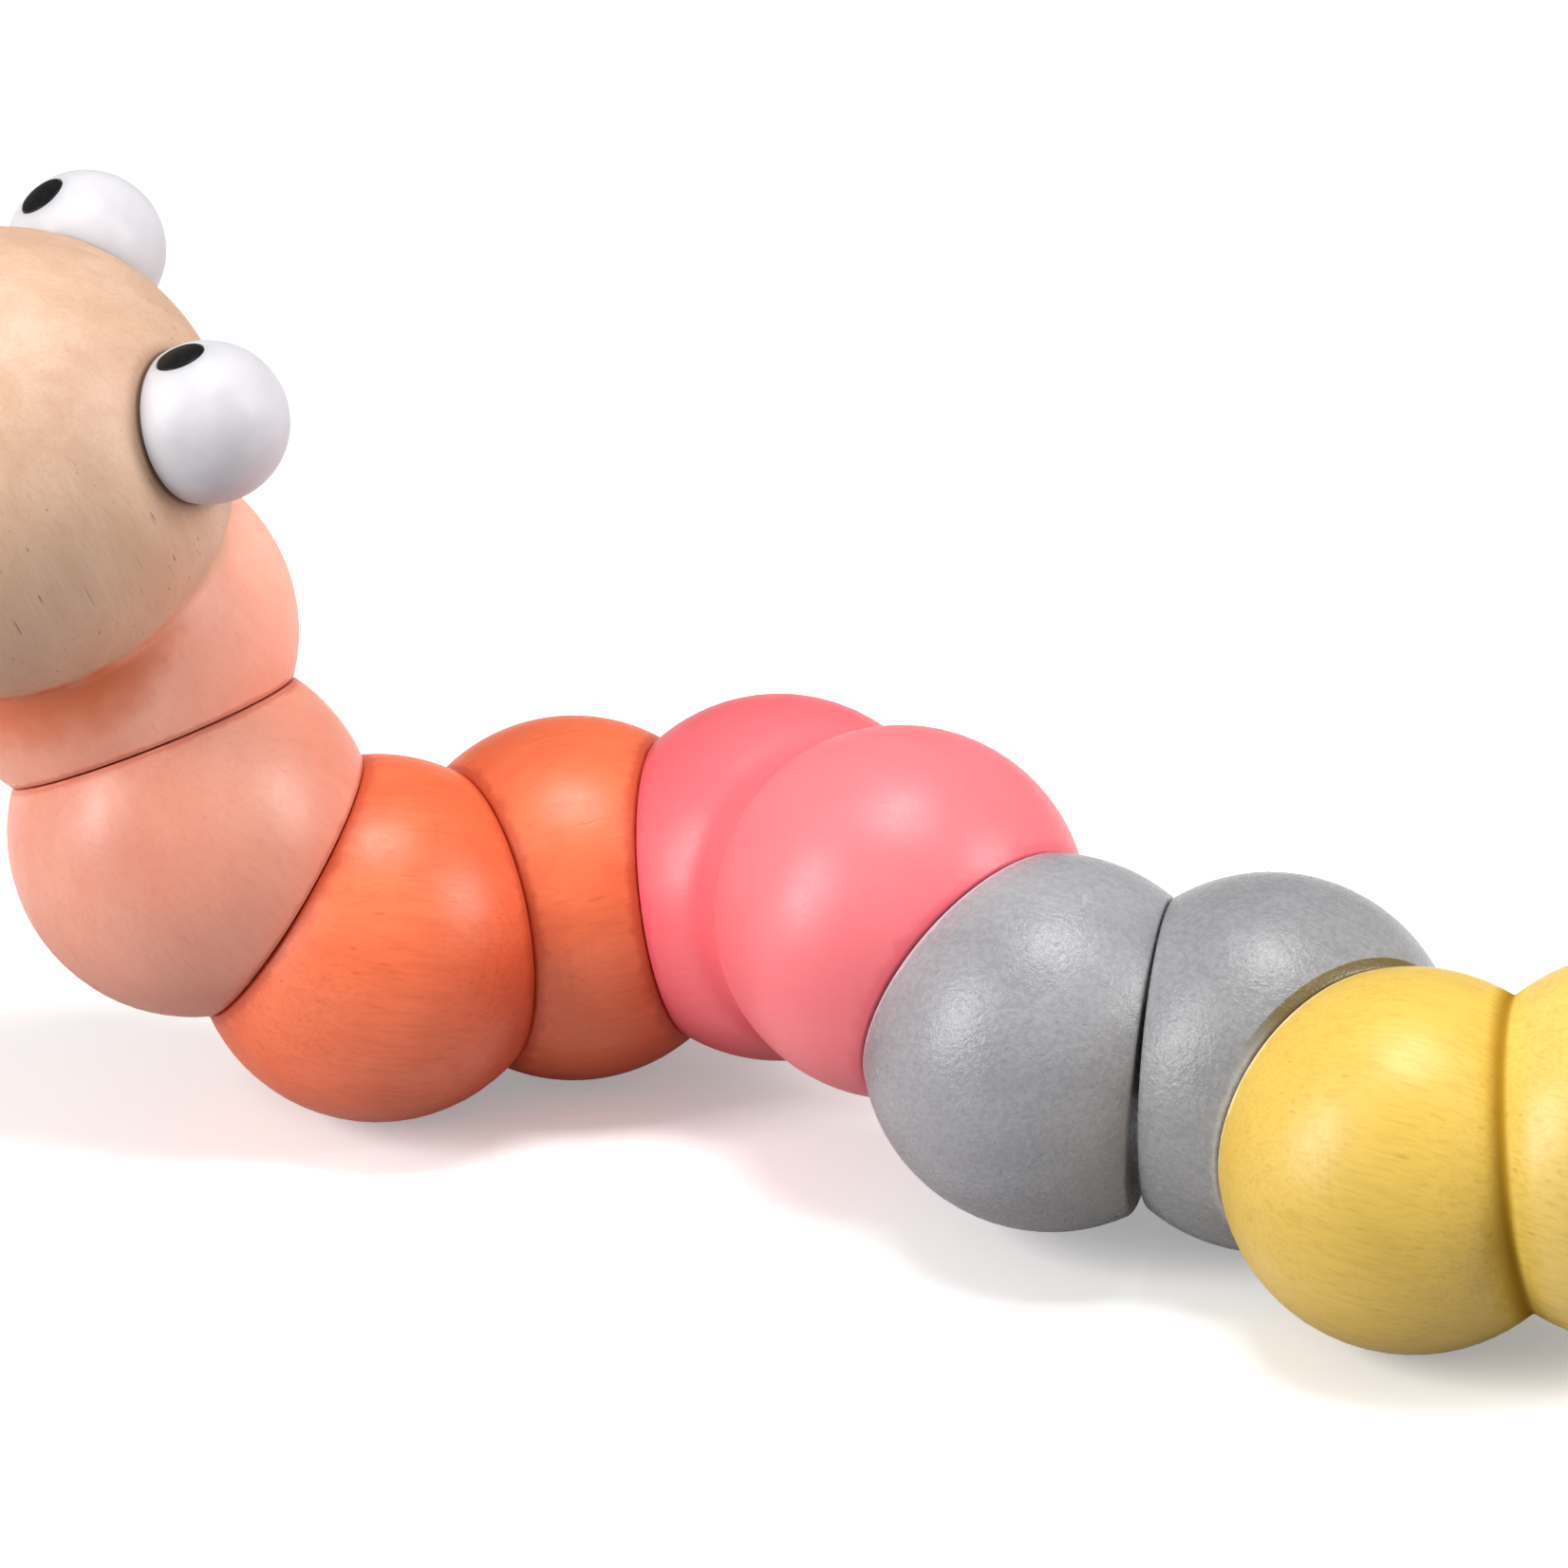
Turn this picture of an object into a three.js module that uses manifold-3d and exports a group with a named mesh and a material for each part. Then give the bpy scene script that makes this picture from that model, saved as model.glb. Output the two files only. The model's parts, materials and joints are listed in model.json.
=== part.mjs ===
// A twisting wooden worm: a head and ten turned balls in eight pieces, joined by seven swivel
// pins. Millimetres, +Z up, origin on the floor under the middle of the toy.
import * as THREE from 'three';
import { mergeVertices } from 'three/addons/utils/BufferGeometryUtils.js';
import Module from 'manifold-3d';

const wasm = await Module();
wasm.setup();

// Driving dimensions.
const BALL_R = 17.5;
const HEAD_R = 21.75;
const PITCH = 20.4; // between the centres of neighbouring balls
const NECK = 23; // from the centre of the head to that of the neck ball
const GAP = 0.3; // between two pieces that meet

// The pose, in degrees from head to tail. Each ball has two flat faces, turned from each other by its
// bend, and sits twisted by its twist about the axis that it shares with the ball before it.
const BENDS = [32, 38, 41, 37, 44, 33, 38, 43, 46];
const TWISTS = [0, -115, -17, 106, 9, 105, 97, 154, -168];
const HEADING = -25.4; // of the line from the first foot to the last, seen from above
const FEET = [3, 4, 9]; // the balls that stand on the floor, counting the head as 0

// Wooden pieces, head to tail, with the balls that each one holds.
const SEGMENTS = [
  { name: 'head_and_neck', balls: [0, 1], colour: 0xe0b89d },
  { name: 'ball_salmon', balls: [2], colour: 0xf0a088 },
  { name: 'ball_orange_front', balls: [3], colour: 0xf07848 },
  { name: 'ball_orange_rear', balls: [4], colour: 0xf07848 },
  { name: 'pair_pink', balls: [5, 6], colour: 0xf88890 },
  { name: 'ball_grey_front', balls: [7], colour: 0xa3a2a7 },
  { name: 'ball_grey_rear', balls: [8], colour: 0xa3a2a7 },
  { name: 'tail_pair_yellow', balls: [9, 10], colour: 0xf0d05f },
];

// Eyes: beads glued on flats, each with a dowel behind it and a black plug for its pupil. The seat
// points from the centre of the head to the bead, and the gaze from the bead's centre to the pupil.
const EYE_R = 7.5;
const EYE_OUT = 23.4; // from the centre of the head to that of the bead
const EYE_DOWEL_R = 2;
const EYE_DOWEL_DEPTHS = [4.5, 2.8]; // into the head and into the bead
const PUPIL_R = 2.3;
const PUPIL_LENGTH = 2.8;
const EYES = [
  { side: 'right', seat: [0.307, 0.73, 0.61], gaze: [-0.55, -0.14, 0.82] },
  { side: 'left', seat: [0.856, -0.394, 0.336], gaze: [-0.335, -0.06, 0.94] },
];

// Swivel joint, in a frame with its origin between the two faces and +Z toward the tail. The bush is
// a cup in the ball before the joint, and the pin is anchored in the ball after it.
const SOCKET_R = 5;
const SOCKET_DEPTH = 7;
const BUSH_R = SOCKET_R - GAP;
const BUSH_MOUTH = 1.3; // below the middle of the joint
const BUSH_LIP = 1.8;
const BUSH_FLOOR = 0.4;
const SHAFT_R = 2;
const PIN_HEAD_R = 3.5;
const PIN_HEAD_LENGTH = 2.6;
const PIN_HEAD_RIM = 1.04; // the straight part of the head
const COLLAR_R = 4.5;
const COLLAR_LENGTH = 1.4;
const COLLAR_CLEARANCE = 0.05; // under the face of its ball
const STEM_R = 2.7;
const STEM_GROOVE = 0.4;
const STEM_RIBS = 3;
const STEM_END = 6.6;
const WASHER_THICKNESS = 0.35;
const WASHER_RISE = 0.45;

// How finely round shapes are divided.
const BALL_STEPS = 24;
const EYE_STEPS = 16;
const PIN_STEPS = 14;

const Z = new THREE.Vector3(0, 0, 1);

function turn(axis, degrees) {
  return new THREE.Matrix4().makeRotationAxis(axis, THREE.MathUtils.degToRad(degrees));
}

function shift(x, y, z) {
  return new THREE.Matrix4().makeTranslation(x, y, z);
}

function originOf(matrix) {
  return new THREE.Vector3().setFromMatrixPosition(matrix);
}

// One frame for each ball, head first: its origin is the ball's centre and its +Z points to the next.
function bendChain() {
  const X = new THREE.Vector3(1, 0, 0);
  const frame = new THREE.Matrix4();
  const frames = [frame.clone()];
  BENDS.forEach((bend, i) => {
    frame.multiply(shift(0, 0, i === 0 ? NECK : PITCH));
    frame.multiply(turn(Z, TWISTS[i])).multiply(turn(X, bend));
    frames.push(frame.clone());
  });
  frames.push(frame.multiply(shift(0, 0, PITCH)).clone());
  return frames;
}

function ballRadius(index) {
  return index === 0 ? HEAD_R : BALL_R;
}

// Stands the chain on its three feet, turns it to its heading and centres it over the origin.
function standOnFloor(frames) {
  const [front, side, back] = FEET.map((i) => originOf(frames[i]));
  const along = back.clone().sub(front).normalize();
  const up = side.clone().sub(front).cross(along).normalize();
  if (up.dot(originOf(frames[0]).sub(front)) < 0) {
    up.negate();
  }
  const across = up.clone().cross(along);
  const floor = new THREE.Matrix4().makeBasis(along, across, up).setPosition(front);
  const level = turn(Z, HEADING).multiply(floor.invert());
  frames.forEach((frame) => frame.premultiply(level));
  const box = new THREE.Box3();
  frames.forEach((frame, i) => {
    const size = new THREE.Vector3().setScalar(2 * ballRadius(i));
    box.union(new THREE.Box3().setFromCenterAndSize(originOf(frame), size));
  });
  const middle = box.getCenter(new THREE.Vector3());
  frames.forEach((frame) => frame.premultiply(shift(-middle.x, -middle.y, BALL_R)));
  return frames;
}

// A three.js geometry as a manifold-3d solid, placed by a matrix.
function solid(geometry, matrix) {
  const placed = geometry.clone().applyMatrix4(matrix);
  placed.deleteAttribute('normal');
  placed.deleteAttribute('uv');
  const merged = mergeVertices(placed);
  return new wasm.Manifold(
    new wasm.Mesh({
      numProp: 3,
      vertProperties: new Float32Array(merged.attributes.position.array),
      triVerts: new Uint32Array(merged.index.array),
    }),
  );
}

function meshFromSolid(name, body, material) {
  const { vertProperties, triVerts } = body.getMesh();
  const geometry = new THREE.BufferGeometry();
  geometry.setAttribute('position', new THREE.BufferAttribute(vertProperties, 3));
  geometry.setIndex(new THREE.BufferAttribute(triVerts, 1));
  geometry.computeVertexNormals();
  return named(name, geometry, material);
}

function named(name, geometry, material) {
  const mesh = new THREE.Mesh(geometry, material);
  mesh.name = name;
  return mesh;
}

// A ball with its poles above and below its centre, so that it stands on a point.
function ballSolid(centre, radius, steps) {
  const geometry = new THREE.SphereGeometry(radius, steps, steps / 2).rotateX(Math.PI / 2);
  return solid(geometry, shift(centre.x, centre.y, centre.z));
}

// A round bar along a frame's Z, from one height to another.
function barSolid(frame, radius, low, high, steps) {
  const geometry = new THREE.CylinderGeometry(radius, radius, high - low, steps);
  geometry.rotateX(Math.PI / 2).translate(0, 0, (low + high) / 2);
  return solid(geometry, frame);
}

// A block along a frame's Z that takes away everything in its way, from one height to another.
function blockSolid(frame, width, low, high) {
  const geometry = new THREE.BoxGeometry(width, width, high - low).translate(0, 0, (low + high) / 2);
  return solid(geometry, frame);
}

// A frame at a point with its +Z along a direction.
function frameAlong(origin, direction) {
  const quaternion = new THREE.Quaternion().setFromUnitVectors(Z, direction);
  return new THREE.Matrix4().compose(origin, quaternion, new THREE.Vector3(1, 1, 1));
}

function eyeFrames(headCentre, eye) {
  const seatDirection = new THREE.Vector3(...eye.seat).normalize();
  const gazeDirection = new THREE.Vector3(...eye.gaze).normalize();
  const centre = headCentre.clone().addScaledVector(seatDirection, EYE_OUT);
  // The flat lies where the bead and the head would meet.
  const flat = (EYE_OUT ** 2 + HEAD_R ** 2 - EYE_R ** 2) / (2 * EYE_OUT);
  return {
    centre,
    seat: frameAlong(headCentre.clone().addScaledVector(seatDirection, flat), seatDirection),
    gaze: frameAlong(centre, gazeDirection),
  };
}

// The face and the socket for the bush, at the end of a ball before its joint.
function cutSocket(body, joint) {
  return body
    .subtract(blockSolid(joint, 2 * BALL_R, -GAP / 2, BALL_R))
    .subtract(barSolid(joint, SOCKET_R, -SOCKET_DEPTH, GAP, PIN_STEPS));
}

// The face and the stepped hole for the pin, at the start of a ball after its joint.
function cutAnchor(body, joint) {
  return body
    .subtract(blockSolid(joint, 2 * BALL_R, -BALL_R, GAP / 2))
    .subtract(barSolid(joint, COLLAR_R + GAP, -GAP, COLLAR_LENGTH + 2 * GAP, PIN_STEPS))
    .subtract(barSolid(joint, STEM_R + GAP, 0, STEM_END + GAP, PIN_STEPS));
}

function cutEyeSeat(body, seat) {
  return body
    .subtract(blockSolid(seat, 2 * EYE_R, -GAP / 2, EYE_R))
    .subtract(barSolid(seat, EYE_DOWEL_R + GAP, -EYE_DOWEL_DEPTHS[0] - GAP, GAP, PIN_STEPS));
}

function woodMaterial(colour) {
  return new THREE.MeshStandardMaterial({ color: colour, roughness: 0.45, metalness: 0 });
}

function segmentMesh(segment, index, frames, joints, eyes) {
  const balls = segment.balls.map((i) => ballSolid(originOf(frames[i]), ballRadius(i), BALL_STEPS));
  let body = balls.reduce((sum, ball) => sum.add(ball));
  if (index > 0) {
    body = cutAnchor(body, joints[index - 1]);
  }
  if (index < joints.length) {
    body = cutSocket(body, joints[index]);
  }
  if (index === 0) {
    body = eyes.reduce((head, eye) => cutEyeSeat(head, eye.seat), body);
  }
  return meshFromSolid(segment.name, body, woodMaterial(segment.colour));
}

function eyeMeshes(eye, frames) {
  const white = new THREE.MeshStandardMaterial({ color: 0xe6e2e6, roughness: 0.35, metalness: 0 });
  const black = new THREE.MeshStandardMaterial({ color: 0x1b1a1a, roughness: 0.5, metalness: 0 });
  const ball = ballSolid(frames.centre, EYE_R, EYE_STEPS);
  const [inHead, inBead] = EYE_DOWEL_DEPTHS;
  const bead = ball
    .subtract(blockSolid(frames.seat, 2 * EYE_R, -EYE_R, GAP / 2))
    .subtract(barSolid(frames.seat, EYE_DOWEL_R + GAP, 0, inBead + GAP, PIN_STEPS))
    .subtract(barSolid(frames.gaze, PUPIL_R + GAP, EYE_R - PUPIL_LENGTH - GAP, EYE_R, PIN_STEPS));
  const pupil = ball.intersect(
    barSolid(frames.gaze, PUPIL_R, EYE_R - PUPIL_LENGTH, EYE_R, PIN_STEPS),
  );
  const dowel = barSolid(frames.seat, EYE_DOWEL_R, -inHead, inBead, PIN_STEPS);
  return [
    meshFromSolid(`eye_${eye.side}`, bead, white),
    meshFromSolid(`pupil_${eye.side}`, pupil, black),
    meshFromSolid(`eye_dowel_${eye.side}`, dowel, woodMaterial(0xd8b48c)),
  ];
}

function lathe(points) {
  const profile = points.map(([r, z]) => new THREE.Vector2(r, z));
  return new THREE.LatheGeometry(profile, PIN_STEPS).rotateX(Math.PI / 2);
}

// The pin has a snap-in head, a plain shaft, a collar and a ribbed stem.
function pinGeometry() {
  const headTop = -BUSH_MOUTH - BUSH_LIP - GAP;
  const collarStart = GAP / 2 + COLLAR_CLEARANCE;
  const collarEnd = collarStart + COLLAR_LENGTH;
  const rib = (STEM_END - collarEnd) / STEM_RIBS;
  const points = [
    [0, headTop - PIN_HEAD_LENGTH],
    [SHAFT_R, headTop - PIN_HEAD_LENGTH],
    [PIN_HEAD_R, headTop - PIN_HEAD_RIM],
    [PIN_HEAD_R, headTop],
    [SHAFT_R, headTop],
    [SHAFT_R, collarStart],
    [COLLAR_R, collarStart],
    [COLLAR_R, collarEnd],
    [STEM_R, collarEnd],
  ];
  for (let i = 1; i <= STEM_RIBS; i++) {
    points.push([STEM_R - STEM_GROOVE, collarEnd + i * rib]);
    if (i < STEM_RIBS) {
      points.push([STEM_R, collarEnd + i * rib]);
    }
  }
  points.push([0, STEM_END]);
  return lathe(points);
}

// The bush is a cup whose lip holds the pin's head.
function bushGeometry() {
  const end = -SOCKET_DEPTH + GAP;
  const lip = -BUSH_MOUTH - BUSH_LIP;
  return lathe([
    [0, end],
    [BUSH_R, end],
    [BUSH_R, -BUSH_MOUTH],
    [SHAFT_R + GAP, -BUSH_MOUTH],
    [SHAFT_R + GAP, lip],
    [PIN_HEAD_R + GAP, lip],
    [PIN_HEAD_R + GAP, end + BUSH_FLOOR],
    [0, end + BUSH_FLOOR],
  ]);
}

// A coned spring washer between the bush and the collar gives the joint its friction.
function washerGeometry() {
  const low = -BUSH_MOUTH + GAP;
  const inner = SHAFT_R + GAP;
  return lathe([
    [inner, low],
    [COLLAR_R, low + WASHER_RISE],
    [COLLAR_R, low + WASHER_RISE + WASHER_THICKNESS],
    [inner, low + WASHER_THICKNESS],
    [inner, low],
  ]);
}

function swivelGroup(number, joint) {
  const steel = new THREE.MeshStandardMaterial({ color: 0xb8b8b6, roughness: 0.3, metalness: 1 });
  const spring = new THREE.MeshStandardMaterial({ color: 0x8f8d88, roughness: 0.35, metalness: 1 });
  const nylon = new THREE.MeshStandardMaterial({ color: 0xe9e6da, roughness: 0.5, metalness: 0 });
  const group = new THREE.Group();
  joint.decompose(group.position, group.quaternion, group.scale);
  group.add(named(`swivel_pin_${number}`, pinGeometry(), steel));
  group.add(named(`spring_washer_${number}`, washerGeometry(), spring));
  group.add(named(`bush_${number}`, bushGeometry(), nylon));
  return group;
}

function buildToy() {
  const frames = standOnFloor(bendChain());
  // Each joint lies half way from the last ball of a piece to the first ball of the next.
  const joints = SEGMENTS.slice(0, -1).map(({ balls }) =>
    frames[balls.at(-1)].clone().multiply(shift(0, 0, PITCH / 2)),
  );
  const eyes = EYES.map((eye) => eyeFrames(originOf(frames[0]), eye));
  const toy = new THREE.Group();
  SEGMENTS.forEach((segment, i) => toy.add(segmentMesh(segment, i, frames, joints, eyes)));
  EYES.forEach((eye, i) => toy.add(...eyeMeshes(eye, eyes[i])));
  joints.forEach((joint, i) => toy.add(swivelGroup(i + 1, joint)));
  return toy;
}

export default buildToy();
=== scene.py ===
"""The looks of a twisting wooden worm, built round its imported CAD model.

Lengths are in millimetres until a mesh is made. Each wooden piece is one closed mesh of columns that
run from the bottom of one bore, over the balls, to the bottom of the other bore or to the far pole.
"""

import json
import math

import bpy
import numpy as np
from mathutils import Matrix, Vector


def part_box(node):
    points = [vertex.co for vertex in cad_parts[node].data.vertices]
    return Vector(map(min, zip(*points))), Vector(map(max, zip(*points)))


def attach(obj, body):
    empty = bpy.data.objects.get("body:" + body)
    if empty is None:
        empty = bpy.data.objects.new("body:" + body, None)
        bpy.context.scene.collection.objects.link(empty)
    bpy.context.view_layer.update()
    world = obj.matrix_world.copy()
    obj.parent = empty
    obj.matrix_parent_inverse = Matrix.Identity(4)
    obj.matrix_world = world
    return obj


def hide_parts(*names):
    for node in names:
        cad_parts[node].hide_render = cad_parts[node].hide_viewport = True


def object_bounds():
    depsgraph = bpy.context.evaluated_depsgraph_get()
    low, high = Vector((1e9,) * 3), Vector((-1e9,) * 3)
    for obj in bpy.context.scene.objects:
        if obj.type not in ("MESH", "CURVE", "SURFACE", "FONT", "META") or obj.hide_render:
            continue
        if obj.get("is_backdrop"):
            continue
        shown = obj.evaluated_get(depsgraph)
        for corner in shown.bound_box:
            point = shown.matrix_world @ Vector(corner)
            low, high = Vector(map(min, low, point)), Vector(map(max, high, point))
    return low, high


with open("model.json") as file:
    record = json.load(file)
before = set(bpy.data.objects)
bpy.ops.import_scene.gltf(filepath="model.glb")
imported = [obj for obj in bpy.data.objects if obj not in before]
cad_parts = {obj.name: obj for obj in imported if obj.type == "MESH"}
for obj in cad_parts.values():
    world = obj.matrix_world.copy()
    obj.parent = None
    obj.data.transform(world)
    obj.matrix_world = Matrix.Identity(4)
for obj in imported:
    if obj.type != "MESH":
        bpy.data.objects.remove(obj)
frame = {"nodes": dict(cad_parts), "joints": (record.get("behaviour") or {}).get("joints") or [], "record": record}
CAD_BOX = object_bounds()

MM = 0.001

# Keeps a division by a length from failing on an axis.
TINY = 0.001

# The wooden pieces. The fillets are the radii of soft edges and valleys.
BALL_R = 17.5
HEAD_R = 21.75
PITCH = 20.4
SEAM = 0.18
FACE = (PITCH - SEAM) / 2
RIM_REACH = 14.3
RIM_FILLET = 0.6
PINK_CREASE_FILLET = 2.6
TAIL_CREASE_FILLET = 0.6
NECK_FILLET = 1.1

# Wear where the grey balls and the yellow pair meet, and a painted shade there: the shadowed gap, tinted by
# the yellow ball, is painted on a rim from this share of its height up, and in full after this much more.
WORN_FILLET = 1.3
WORN_GAP = 0.6
GAP_SHADE_RISE = 0.6
GAP_SHADE_BLEND = 0.25

# How much painted shade falls on the neck under the head: the value in front of the head, and how fast it falls to
# the right.
HEAD_SHADE_AHEAD = 1.5
HEAD_SHADE_FALL = 2.2

# Bores in the two faces of a joint, each from its face inward.
SOCKET_R = 5
SOCKET_DEPTH = 7
COUNTERBORE_R = 4.8
COUNTERBORE_DEPTH = 2
ANCHOR_R = 3
ANCHOR_DEPTH = 6.9
MOUTH_BEVEL = 0.3
FLOOR_BEVEL = 0.2

# Eye beads on the head.
EYE_R = 7.5
SEAT_AT = 20.6
SEAT_SOFTNESS = 0.5
SEAT_REACH = 0.5
EYE_FILLET = 0.45
GLUE_LINE = 0.03
DOWEL_HOLE_R = 2.3
DOWEL_HOLE_DEPTH = 3.1
PUPIL_R = 2.3
PUPIL_HOLE_R = 2.36
PUPIL_FLOOR = 4.4
PUPIL_SUNK = 0.06
PUPIL_FILLET = 0.3
PUPIL_RIM_FILLET = 0.14

# How finely the meshes are cut.
BALL_COLUMNS = 128
HEAD_COLUMNS = 256
EYE_COLUMNS = 112
EYE_ROWS = 72
LEAST_ROWS = 4
RIM_STEPS = 7
CREASE_STEPS = 9
HEAD_ROWS = 118
TAIL_ROWS = 62
PUPIL_RINGS = 10

BODIES = frame["record"]["behaviour"]["bodies"]


def unit(vector):
    vector = np.asarray(vector, float)
    return vector / np.linalg.norm(vector)


def square_to(axis):
    """Two unit vectors square to the axis and to each other."""
    helper = np.eye(3)[np.argmin(np.abs(axis))]
    first = unit(np.cross(axis, helper))
    return first, np.cross(axis, first)


def even_spokes(axis, count):
    first, second = square_to(axis)
    turn = np.linspace(0, 2 * np.pi, count, endpoint=False)[:, None]
    return np.cos(turn) * first + np.sin(turn) * second


def spokes_to(points, centre, axis):
    """Unit vectors square to the axis, toward each point."""
    arm = points - centre
    arm = arm - (arm @ axis)[:, None] * axis
    return arm / np.maximum(np.linalg.norm(arm, axis=1), TINY)[:, None]


def ring(centre, axis, spokes, radial, axial):
    """A point on each spoke, this far from the axis and along it."""
    radial = np.broadcast_to(radial, len(spokes))[:, None]
    axial = np.broadcast_to(axial, len(spokes))[:, None]
    return centre + axis * axial + spokes * radial


# ------ columns over a ball


class Crossing:
    """Columns that run over a ball from a circle about one axis to a circle about another.

    Every circle between them is cut square by each column, so the grid has no slivers.
    """

    def __init__(self, first, first_cos, second, second_cos):
        lean = first @ second
        spread = 1 - lean * lean
        meeting = (first_cos - second_cos * lean) / spread * first
        meeting = meeting + (second_cos - first_cos * lean) / spread * second
        reach = np.linalg.norm(meeting)
        outward = meeting / reach
        across = unit(first - (first @ outward) * outward)
        side = math.sqrt(1 - 1 / reach**2)
        self.far = outward / reach - across * side
        self.right, self.up = square_to(self.far)
        self.middle = 0
        self.middle = self.flatten((outward / reach + across * side)[None])[0]

    def flatten(self, directions):
        """Directions as complex numbers, where both circles have zero at their centres."""
        flat = directions @ self.right + 1j * (directions @ self.up)
        return flat / (1 - directions @ self.far) - self.middle

    def lift(self, flat):
        """The directions that flatten turns into these numbers."""
        flat = flat + self.middle
        square = np.abs(flat) ** 2
        sideways = np.outer(flat.real, self.right) + np.outer(flat.imag, self.up)
        raised = 2 * sideways + np.outer(square - 1, self.far)
        return raised / (square + 1)[:, None]

    def circle_radius(self, axis, cosine):
        edge = axis * cosine + square_to(axis)[0] * math.sqrt(1 - cosine**2)
        return abs(self.flatten(edge[None])[0])

    def carry(self, directions, radius):
        """Moves each direction along its column to the circle of this flat radius."""
        flat = self.flatten(directions)
        return self.lift(flat / np.abs(flat) * radius)

    def rows(self, start, end, columns):
        """The rows strictly between start and end, about as far apart as the columns."""
        begin = self.flatten(start)
        step = np.log(self.flatten(end) / begin)
        count = max(LEAST_ROWS, int(np.abs(step.real).mean() * columns / (2 * np.pi)))
        shares = np.linspace(0, 1, count + 2)[1:-1]
        return [self.lift(begin * np.exp(step * share)) for share in shares]


class End:
    """One flat end of a piece: the ball it cuts, the axis of its joint and the bore in its face."""

    def __init__(self, centre, axis, bore, radius=BALL_R, face=FACE, fillet=RIM_FILLET):
        self.centre = centre
        self.axis = axis
        self.bore = bore
        self.radius = radius
        self.face = face
        self.fillet = fillet

    def contact(self, fillet=None):
        """The cosine of the angle from the axis at which the rounded rim leaves the ball."""
        fillet = self.fillet if fillet is None else fillet
        return (self.face - fillet) / (self.radius - fillet)

    def rim(self, fillet):
        """(radial, axial) from the ball round to the flat face. fillet may differ by column."""
        low = self.face - fillet
        seat = np.sqrt((self.radius - fillet) ** 2 - low**2)
        lean = np.arctan2(seat, low)
        turns = [lean * share for share in np.linspace(1, 0, RIM_STEPS)]
        return [(seat + fillet * np.sin(turn), low + fillet * np.cos(turn)) for turn in turns]

    def rows(self, spokes, fillet=None):
        """(points, inside) from the rim to the last ring of the bore."""
        fillet = self.fillet if fillet is None else fillet
        outer = [(radial, axial, 0) for radial, axial in self.rim(fillet)]
        inner = [(radial, axial, 1) for radial, axial in self.bore(self.face)]
        made = []
        for radial, axial, inside in outer + inner:
            made.append((ring(self.centre, self.axis, spokes, radial, axial), inside))
        return made

    def floor(self):
        """The middle of the bore's floor."""
        return self.centre + self.axis * self.bore(self.face)[-1][1]


# A bore is a list of (radial, axial), from its mouth in the face to its floor.


def socket(face):
    """For the bush that holds the head of the pin."""
    floor = face - SOCKET_DEPTH
    return [
        (SOCKET_R + 3 * MOUTH_BEVEL, face),
        (SOCKET_R + MOUTH_BEVEL, face),
        (SOCKET_R, face - MOUTH_BEVEL),
        (SOCKET_R, floor + FLOOR_BEVEL),
        (SOCKET_R - FLOOR_BEVEL, floor),
    ]


def anchor(face):
    """For the pin's collar and its glued stem."""
    step = face - COUNTERBORE_DEPTH
    floor = face - ANCHOR_DEPTH
    return [
        (COUNTERBORE_R + 3 * MOUTH_BEVEL, face),
        (COUNTERBORE_R + MOUTH_BEVEL, face),
        (COUNTERBORE_R, face - MOUTH_BEVEL),
        (COUNTERBORE_R, step + FLOOR_BEVEL),
        (COUNTERBORE_R - FLOOR_BEVEL, step),
        (ANCHOR_R + FLOOR_BEVEL, step),
        (ANCHOR_R, step - FLOOR_BEVEL),
        (ANCHOR_R, floor + FLOOR_BEVEL),
        (ANCHOR_R - FLOOR_BEVEL, floor),
    ]


def dowel_hole(face):
    floor = face - DOWEL_HOLE_DEPTH
    return [
        (DOWEL_HOLE_R + 2 * MOUTH_BEVEL, face),
        (DOWEL_HOLE_R, face),
        (DOWEL_HOLE_R, floor),
    ]


class Crease:
    """The rounded valley where two balls of one piece run into each other."""

    def __init__(self, first, first_radius, second, second_radius, fillet):
        self.first = first
        self.axis = unit(second - first)
        self.length = np.linalg.norm(second - first)
        self.radii = (first_radius, second_radius)
        self.fillet = fillet
        reach = (first_radius + fillet) ** 2 - (second_radius + fillet) ** 2
        self.along = (self.length**2 + reach) / (2 * self.length)
        self.out = math.sqrt((first_radius + fillet) ** 2 - self.along**2)

    def cosines(self):
        """Of the angles from the axis at which the valley meets each ball."""
        far = self.length - self.along
        first, second = self.radii
        return self.along / (first + self.fillet), far / (second + self.fillet)

    def rows(self, spokes):
        """Rings from the first ball's edge of the valley to the second's, both included."""
        begin = math.atan2(-self.along, -self.out)
        end = math.atan2(self.length - self.along, -self.out)
        turns = np.linspace(begin + 2 * math.pi, end, CREASE_STEPS)
        made = []
        for turn in turns:
            radial = self.out + self.fillet * math.cos(turn)
            axial = self.along + self.fillet * math.sin(turn)
            made.append((ring(self.first, self.axis, spokes, radial, axial), 0))
        return made


# ------ meshes


def make_object(name, vertices, faces, material, attributes):
    mesh = bpy.data.meshes.new(name)
    mesh.from_pydata([tuple(vertex) for vertex in vertices * MM], [], faces)
    for key, values in attributes.items():
        layer = mesh.attributes.new(key, "FLOAT", "POINT")
        layer.data.foreach_set("value", np.asarray(values, np.float32))
    mesh.materials.append(material)
    mesh.validate()
    mesh.shade_smooth()
    made = bpy.data.objects.new(name, mesh)
    bpy.context.scene.collection.objects.link(made)
    return made


def column_faces(rows, columns):
    """Faces of a closed mesh: a first pole, then the rows, then a last pole."""
    last = 1 + rows * columns
    faces = []
    for here in range(columns):
        following = (here + 1) % columns
        faces.append((0, 1 + following, 1 + here))
        for row in range(rows - 1):
            low = 1 + row * columns
            high = low + columns
            faces.append((low + here, low + following, high + following, high + here))
        low = 1 + (rows - 1) * columns
        faces.append((low + here, low + following, last))
    return faces


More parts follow.
